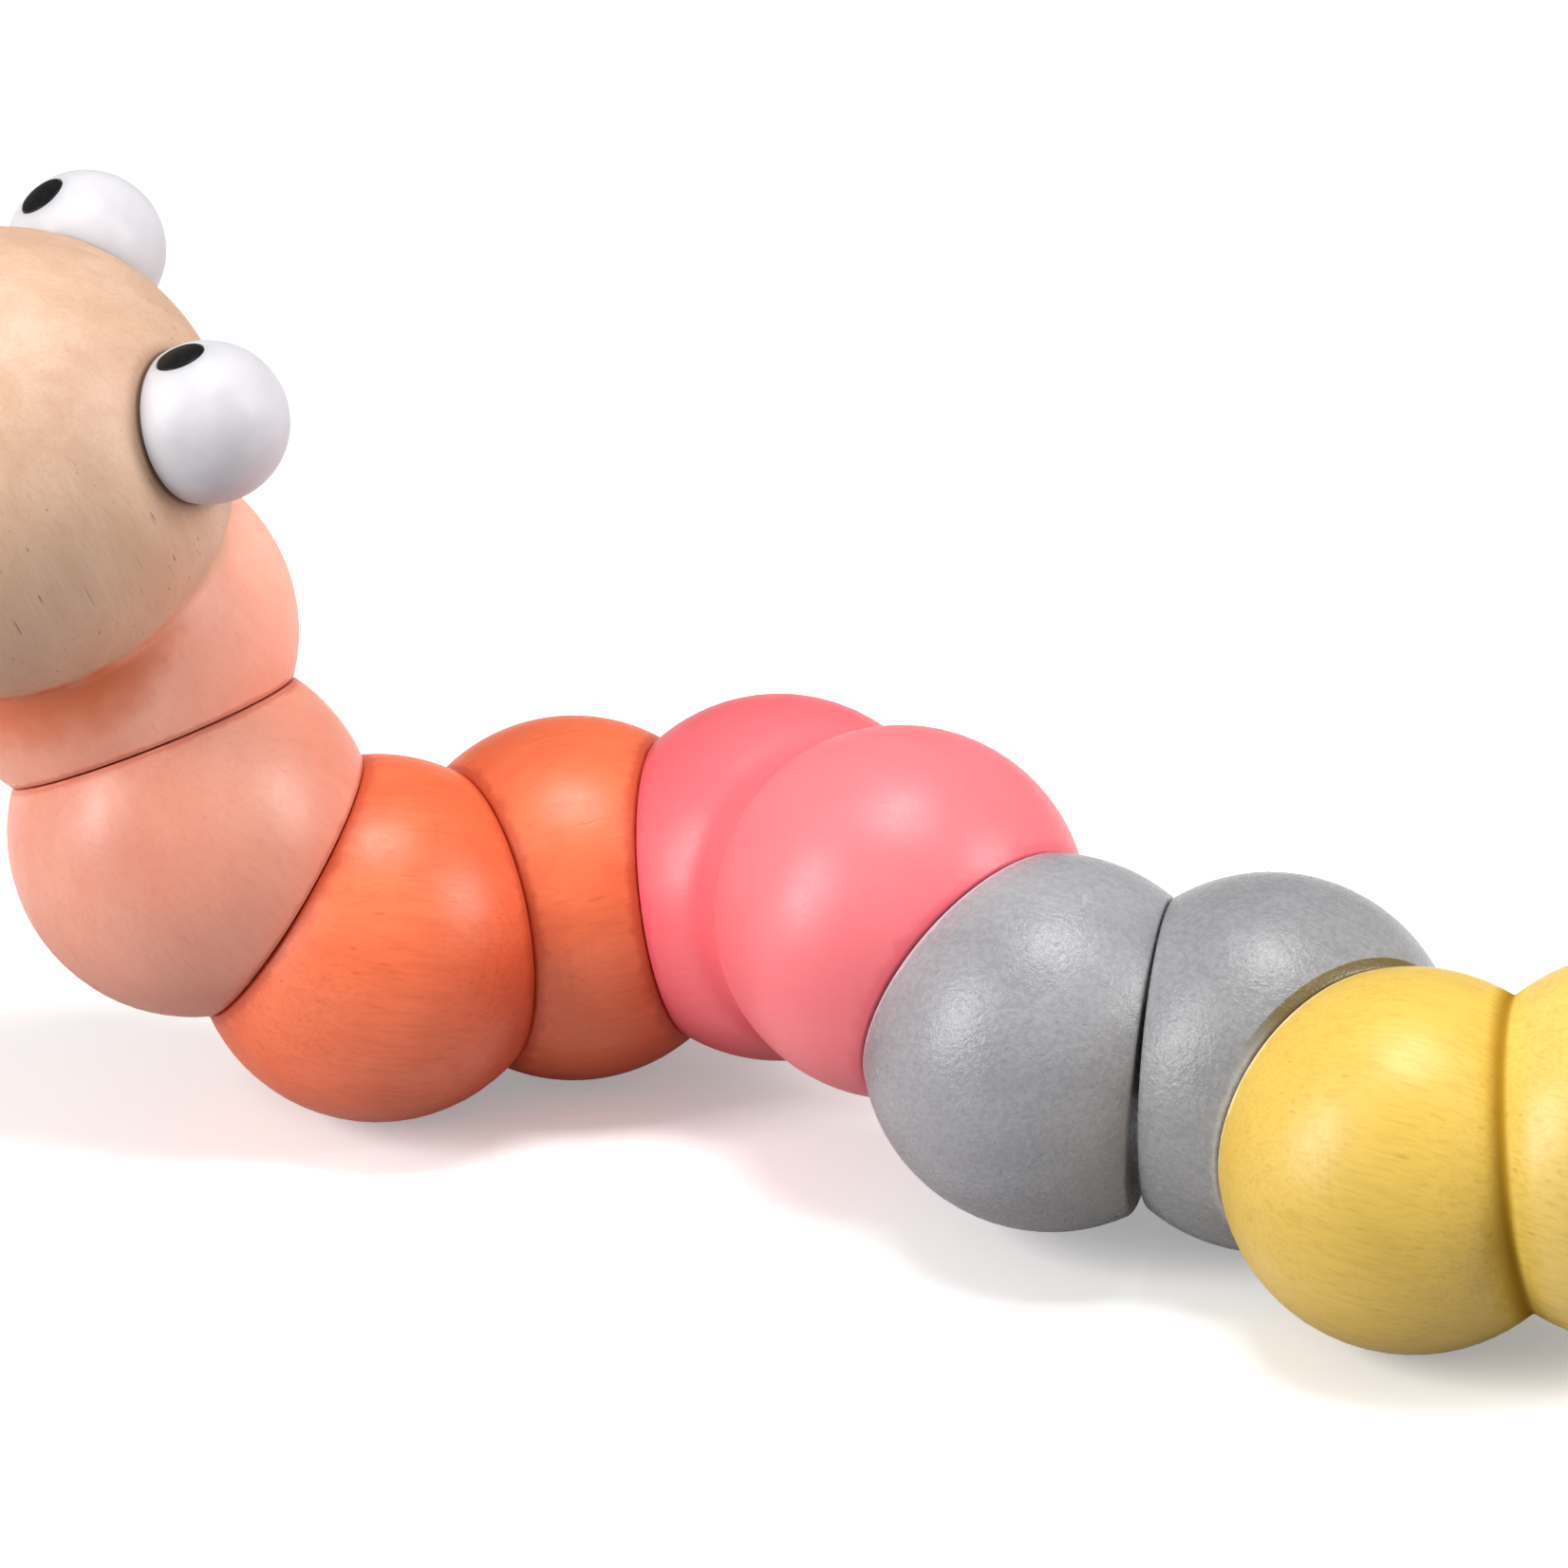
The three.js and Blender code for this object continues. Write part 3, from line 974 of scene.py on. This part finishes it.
def grey_material(name, grain, turning, offset, paint):
    """Grey paint with a metallic speckle and a few light scratches."""
    shader = Shader(name)
    place = shader.along_grain(grain, offset)
    tone, height = painted_wood(shader, place, turning, paint)
    speckle = shader.noise(place, 1.8, 1.5, detail=3.0, roughness=0.7)
    dark = thicker(paint.deep, 1.0, 0.5)
    tone = shader.mix(shader.range(speckle, 0.35, 0.65, 0.0, 0.14), tone, dark)
    tone = shader.mix(shader.range(speckle, 0.65, 0.35, 0.0, 0.1), tone, SPECKLE_LIGHT)
    across_grain = shader.along_grain((0.2, 0.9, 0.4), offset)
    scratches = dashes(shader, across_grain, across=0.55, along=0.1, chance=0.3)
    tone = shader.mix(shader.times(scratches, 0.3), tone, SPECKLE_LIGHT)
    height = shader.math("ADD", height, shader.times(speckle, 2.4))
    finish_wood(shader, place, tone, height, paint.rim, roughness=0.3, relief=0.85)
    return shader.material


def bead_shadow_ring(shader, beads):
    """How dark the head is painted round its eye beads, from the centres of the beads:
    a painted contact shadow at the seat, and a wider faint painted shadow.
    """
    place = shader.object_place()
    nearest = None
    for centre in beads:
        inputs = {0: place, 1: tuple(centre * MM)}
        away = shader.add("ShaderNodeVectorMath", inputs, operation="DISTANCE").outputs["Value"]
        nearest = away if nearest is None else shader.math("MINIMUM", nearest, away)
    line = shader.range(nearest, (EYE_R + 0.05) * MM, (EYE_R + 0.5) * MM, 0.6, 0.0)
    wide_shadow = shader.range(nearest, (EYE_R + 0.3) * MM, (EYE_R + 1.8) * MM, 0.3, 0.0)
    return shader.math("ADD", line, wide_shadow)


def neck_painted_shade(shader, past):
    """How much painted shade lies on the neck, under the front of the head."""
    head_shade_share = shader.attribute("under_head_shade")
    reach = shader.math("ADD", shader.times(head_shade_share, NECK_SHADE_MORE), NECK_SHADE_LEAST)
    near = shader.times(shader.range(past, -1.9, 0.1), shader.math("SQRT", head_shade_share))
    return shader.times(near, shader.range(past, 0.6, reach, 1.0, 0.0))


def head_material(name, grain, offset, beads):
    """Bare beech on the head, running softly into salmon paint on the neck."""
    shader = Shader(name)
    place = shader.along_grain(grain, offset)
    wood, wood_height = bare_wood(shader, place)
    paint, paint_height = painted_wood(shader, place, grain, NECK_SALMON_LIT)
    ragged = shader.range(shader.noise(place, 0.4, detail=3.0), 0.3, 0.7, -0.5, 0.5)
    past = shader.math("ADD", shader.attribute("crease_distance"), ragged)
    tone = shader.mix(shader.range(past, -2.2, 1.5), wood, paint)
    # Painted shade on the neck, under the overhang of the head.
    tone = shader.mix(neck_painted_shade(shader, past), tone, NECK_PAINTED_SHADE)
    # Painted shadow on the head round the eye beads.
    tone = shader.mix(bead_shadow_ring(shader, beads), tone, BEAD_SHADOW)
    height = shader.times(shader.math("ADD", wood_height, paint_height), 0.5)
    finish_wood(shader, place, tone, height, NECK_SALMON_LIT.rim, roughness=0.5, relief=0.4)
    return shader.material


def bead_material(name):
    """White lacquer on a bead, a little translucent."""
    shader = Shader(name)
    place = shader.along_grain((0.3, 0.2, 1.0), 3.0)
    skin = paint_texture(shader, place)
    cloud = shader.noise(place, 0.25)
    tone = shader.mix(shader.range(cloud, 0.3, 0.7), EYE_WHITE, EYE_COOL)
    rough = shader.range(skin, 0.55, 1.15, 0.4, 0.5)
    shader.set(Base_Color=tone, Roughness=rough, Normal=shader.bump(skin, 0.3, 0.05))
    shader.set(Subsurface_Weight=0.6, Subsurface_Radius=(1.0, 0.95, 0.95))
    shader.set(Subsurface_Scale=BEAD_DEPTH * MM, Specular_IOR_Level=0.35)
    return shader.material


def pupil_material(name):
    shader = Shader(name)
    place = shader.along_grain((0.1, 0.9, 0.3), 7.0)
    skin = shader.noise(place, 3.0, detail=4.0, roughness=0.7)
    tone = shader.mix(shader.range(skin, 0.5, 0.85), PUPIL_BLACK, PUPIL_WORN)
    rough = shader.range(skin, 0.3, 0.8, 0.4, 0.6)
    shader.set(Base_Color=tone, Roughness=rough, Normal=shader.bump(skin, 0.5, 0.06))
    shader.set(Specular_IOR_Level=0.2)
    return shader.material


def steel_material(name, tint, roughness):
    """Turned steel, with fine scratches and a little unevenness in its gloss."""
    shader = Shader(name)
    place = shader.along_grain((0.0, 0.0, 1.0), 1.0)
    scratch = shader.noise(place, 6.0, 0.8, detail=4.0, roughness=0.7)
    patch = shader.noise(place, 0.8)
    tone = shader.mix(shader.range(patch, 0.3, 0.7), tint, thicker(tint, 1.0, 0.8))
    rough = shader.range(scratch, 0.3, 0.7, roughness, roughness + 0.15)
    shader.set(Base_Color=tone, Roughness=rough, Normal=shader.bump(scratch, 0.3, 0.02))
    shader.set(Metallic=1.0)
    return shader.material


def nylon_material(name):
    shader = Shader(name)
    place = shader.along_grain((0.0, 0.0, 1.0), 2.0)
    skin = shader.noise(place, 4.0, detail=3.0)
    tone = shader.mix(skin, NYLON_LIGHT, NYLON_DARK)
    rough = shader.range(skin, 0.3, 0.7, 0.42, 0.55)
    shader.set(Base_Color=tone, Roughness=rough, Normal=shader.bump(skin, 0.3, 0.03))
    return shader.material


def dowel_material(name):
    shader = Shader(name)
    place = shader.along_grain((0.6, 0.1, 0.8), 4.0)
    tone, height = bare_wood(shader, place)
    rough = shader.range(height, -0.5, 0.4, 0.6, 0.7)
    shader.set(Base_Color=tone, Roughness=rough, Normal=shader.bump(height, 0.4, 0.05))
    return shader.material


# ------ the pieces


# Node, material, paint and direction of the grain, from the neck to the tail.
BALLS = [
    ("ball_salmon", painted_material, SALMON, (0.5, 0.3, -0.8)),
    ("ball_orange_front", painted_material, ORANGE_FRONT, (0.95, 0.2, -0.2)),
    ("ball_orange_rear", painted_material, ORANGE_REAR_LIT, (0.9, 0.3, 0.1)),
    ("pair_pink", painted_material, PINK, (0.7, -0.5, 0.2)),
    ("ball_grey_front", grey_material, GREY_FRONT, (0.8, -0.4, 0.3)),
    ("ball_grey_rear", grey_material, GREY_REAR, (0.8, -0.3, -0.3)),
]
TAIL_GRAIN = (0.93, -0.33, -0.12)
HEAD_GRAIN = (-0.285, -0.371, 0.884)

# The materials of neighbouring pieces are cut from different places, this far apart.
GRAIN_STEP = 11.0
TAIL_OFFSET = 71.0
HEAD_OFFSET = 5.0

# The joint between the grey balls, counted from 0 at the neck.
LOOSE_JOINT = 5


def stand_for(piece, node, body):
    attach(piece, body)
    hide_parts(node)


def body_that_holds(node):
    return next(body for body, nodes in BODIES.items() if node in nodes)


def gap_shade_crescent(end):
    """A function that gives 1 on the upper side of a rim, where the gap's painted shade goes."""

    def measure(vertices):
        rise = spokes_to(vertices, end.centre, end.axis)[:, 2]
        return np.clip((rise - GAP_SHADE_RISE) / GAP_SHADE_BLEND, 0, 1)

    return measure


def loosen(end):
    """Cuts an end back, by WORN_GAP in its middle, twice that at its foot and not at its top."""
    down = np.array([0.0, 0.0, -1.0])
    down = unit(down - (down @ end.axis) * end.axis)
    end.axis = unit(end.axis + down * WORN_GAP / RIM_REACH)
    end.face -= WORN_GAP


def worn_foot(spokes):
    """The radius of a rim that is well rounded at its foot."""
    low = np.clip(-spokes[:, 2], 0, 1)
    return RIM_FILLET + (WORN_FILLET - RIM_FILLET) * low**2


def build_ball(node, ends, material):
    """One ball. Each grey ball has one rim in a colour of its own. The front one has a worn foot on its
    rear rim, the rear one a painted shade on its rear rim.
    """
    worn = None
    extra = {}
    if node == "ball_grey_front":
        worn = worn_foot
        extra = {"rim_distance": rim_distance(ends[:1])}
    if node == "ball_grey_rear":
        extra = {"rim_distance": rim_distance(ends[1:]), "gap_shade": gap_shade_crescent(ends[1])}
    return single_ball(f"{node}_look", *ends, material, worn, extra)


def build_balls():
    """Every wooden piece between the head and the tail."""
    after = [end_after(joint) for joint in JOINTS]
    before = [end_before(joint) for joint in JOINTS]
    loosen(before[LOOSE_JOINT])
    for place, (node, make_material, paint, grain) in enumerate(BALLS):
        ends = (after[place], before[place + 1])
        turning = unit(ends[1].axis - ends[0].axis)
        material = make_material(f"{node}_paint", grain, turning, GRAIN_STEP * place, paint)
        if node == "pair_pink":
            piece = ball_pair(f"{node}_look", *ends, material)
        else:
            piece = build_ball(node, ends, material)
        stand_for(piece, node, body_that_holds(node))


def build_tail():
    """The last two balls, in one piece."""
    first = end_after(JOINTS[-1])
    last = other_ball("tail_pair_yellow", first.centre)
    turning = unit(last - first.centre)
    material = painted_material("tail_pair_paint", TAIL_GRAIN, turning, TAIL_OFFSET, YELLOW)
    piece = tail_pair("tail_pair_yellow_look", first, last, material)
    stand_for(piece, "tail_pair_yellow", "tail")


def build_eye(side, centre, seat, white, black):
    """A bead with a flat toward the head, and the black plug in it."""
    bead = f"eye_{side}"
    pupil = f"pupil_{side}"
    face = np.linalg.norm(centre - HEAD) - SEAT_AT - GLUE_LINE
    end = End(centre, -seat, dowel_hole, EYE_R, face, EYE_FILLET)
    gaze = unit(sum(millimetre_box(pupil)) / 2 - centre)
    stand_for(eye_bead(f"{bead}_look", end, gaze, white), bead, "head")
    stand_for(pupil_plug(f"{pupil}_look", centre, gaze, black), pupil, "head")


def build_head():
    """The head with its neck ball, and the two eyes."""
    white = bead_material("eye_satin_white")
    black = pupil_material("pupil_satin_black")
    seats = []
    beads = []
    for side in ("right", "left"):
        centre = bead_centre(f"eye_{side}", HEAD)
        beads.append(centre)
        seats.append(unit(centre - HEAD))
        build_eye(side, centre, seats[-1], white, black)
    material = head_material("head_beech_and_salmon", HEAD_GRAIN, HEAD_OFFSET, beads)
    piece = head_piece("head_and_neck_look", HEAD, end_before(JOINTS[0]), seats, material)
    stand_for(piece, "head_and_neck", "head")


def dress_hardware():
    """Better finishes for the pins, washers, bushes and dowels, which keep their CAD meshes."""
    finishes = {
        "swivel_pin": steel_material("turned_steel", STEEL, 0.25),
        "spring_washer": steel_material("spring_steel_dark", SPRING_STEEL, 0.3),
        "bush": nylon_material("nylon_natural"),
        "eye_dowel": dowel_material("dowel_beech"),
    }
    for name, node in frame["nodes"].items():
        for start, material in finishes.items():
            if name.startswith(start):
                node.data.materials.clear()
                node.data.materials.append(material)


# ------ stage, lamps and camera


# How far the floor's shadow is lifted toward white for the camera alone.
FLOOR_GLOW = 0.3
FLOOR_SIDES = 128
WORLD_LIGHT = 0.22

# In metres and watts: the name of each soft box, the direction it shines from, its distance, size
# and power.
FLOOR_RADIUS = 3.0
LAMP_TARGET = Vector((0.0, 0.0, 0.03))
LAMPS = [
    ("overhead_box", (0.0, -0.02, 1.0), 0.85, (0.36, 0.3), 4.9),
    ("left_box", (-0.858, -0.339, 0.388), 0.95, (0.24, 0.66), 7.6),
    ("right_box", (0.851, -0.204, 0.483), 0.95, (0.24, 0.56), 5.8),
    ("front_fill", (0.05, -0.9, 0.45), 1.8, (0.9, 0.9), 0.8),
]

# The camera, which looks along +Y and down. CLIP is how near and how far it sees, in metres.
CAMERA_TARGET = (0.1, 17.3, 34.9)
CAMERA_DISTANCE = 793.0
CAMERA_DROP = 25.27
CAMERA_LENS = 194.25
CLIP = (0.05, 20.0)


def floor_material():
    """White where the camera sees it, with the shadow kept, and a softer bounce on the toy."""
    shader = Shader("floor_white")
    path = shader.add("ShaderNodeLightPath").outputs
    seen = shader.math("MAXIMUM", path["Is Camera Ray"], path["Is Glossy Ray"])
    shader.set(Base_Color=shader.mix(seen, FLOOR_BOUNCE, WHITE), Roughness=1.0)
    shader.set(Emission_Color=WHITE)
    shader.set(Emission_Strength=shader.times(path["Is Camera Ray"], FLOOR_GLOW))
    shader.set(Specular_IOR_Level=0.0)
    return shader.material


def build_floor():
    bpy.ops.mesh.primitive_circle_add(vertices=FLOOR_SIDES, radius=FLOOR_RADIUS, fill_type="NGON")
    floor = bpy.context.object
    floor.name = "floor"
    floor.data.materials.append(floor_material())
    floor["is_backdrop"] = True


def build_world():
    """A dim white world, which the camera sees as full white."""
    world = bpy.data.worlds.new("studio")
    world.use_nodes = True
    bpy.context.scene.world = world
    tree = world.node_tree
    background = tree.nodes["Background"]
    path = tree.nodes.new("ShaderNodeLightPath").outputs
    mix = tree.nodes.new("ShaderNodeMix")
    mix.data_type = "FLOAT"
    mix.inputs[2].default_value = WORLD_LIGHT
    mix.inputs[3].default_value = 1.0
    tree.links.new(path["Is Camera Ray"], mix.inputs[0])
    tree.links.new(mix.outputs[0], background.inputs["Strength"])
    background.inputs["Color"].default_value = WHITE


def area_lamp(name, direction, distance, size, power):
    """A soft box that looks at the toy from this direction."""
    data = bpy.data.lights.new(name, "AREA")
    data.shape = "RECTANGLE"
    data.size, data.size_y = size
    data.energy = power
    toward = Vector(direction).normalized()
    lamp = bpy.data.objects.new(name, data)
    lamp.location = LAMP_TARGET + toward * distance
    lamp.rotation_euler = (-toward).to_track_quat("-Z", "Y").to_euler()
    bpy.context.scene.collection.objects.link(lamp)


def build_camera():
    drop = math.radians(CAMERA_DROP)
    back = Vector((0.0, -math.cos(drop), math.sin(drop))) * CAMERA_DISTANCE
    data = bpy.data.cameras.new("camera")
    data.lens = CAMERA_LENS
    data.clip_start, data.clip_end = CLIP
    camera = bpy.data.objects.new("camera", data)
    camera.location = (Vector(CAMERA_TARGET) + back) * MM
    camera.rotation_euler = (math.pi / 2 - drop, 0.0, 0.0)
    bpy.context.scene.collection.objects.link(camera)
    bpy.context.scene.camera = camera


def write_sizes():
    boxes = {"cad": CAD_BOX, "visual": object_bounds()}
    plain = {key: [list(corner) for corner in box] for key, box in boxes.items()}


build_balls()
build_tail()
build_head()
dress_hardware()
build_floor()
build_world()
for lamp_settings in LAMPS:
    area_lamp(*lamp_settings)
build_camera()
bpy.context.scene.view_settings.view_transform = "Standard"
bpy.context.view_layer.update()
write_sizes()
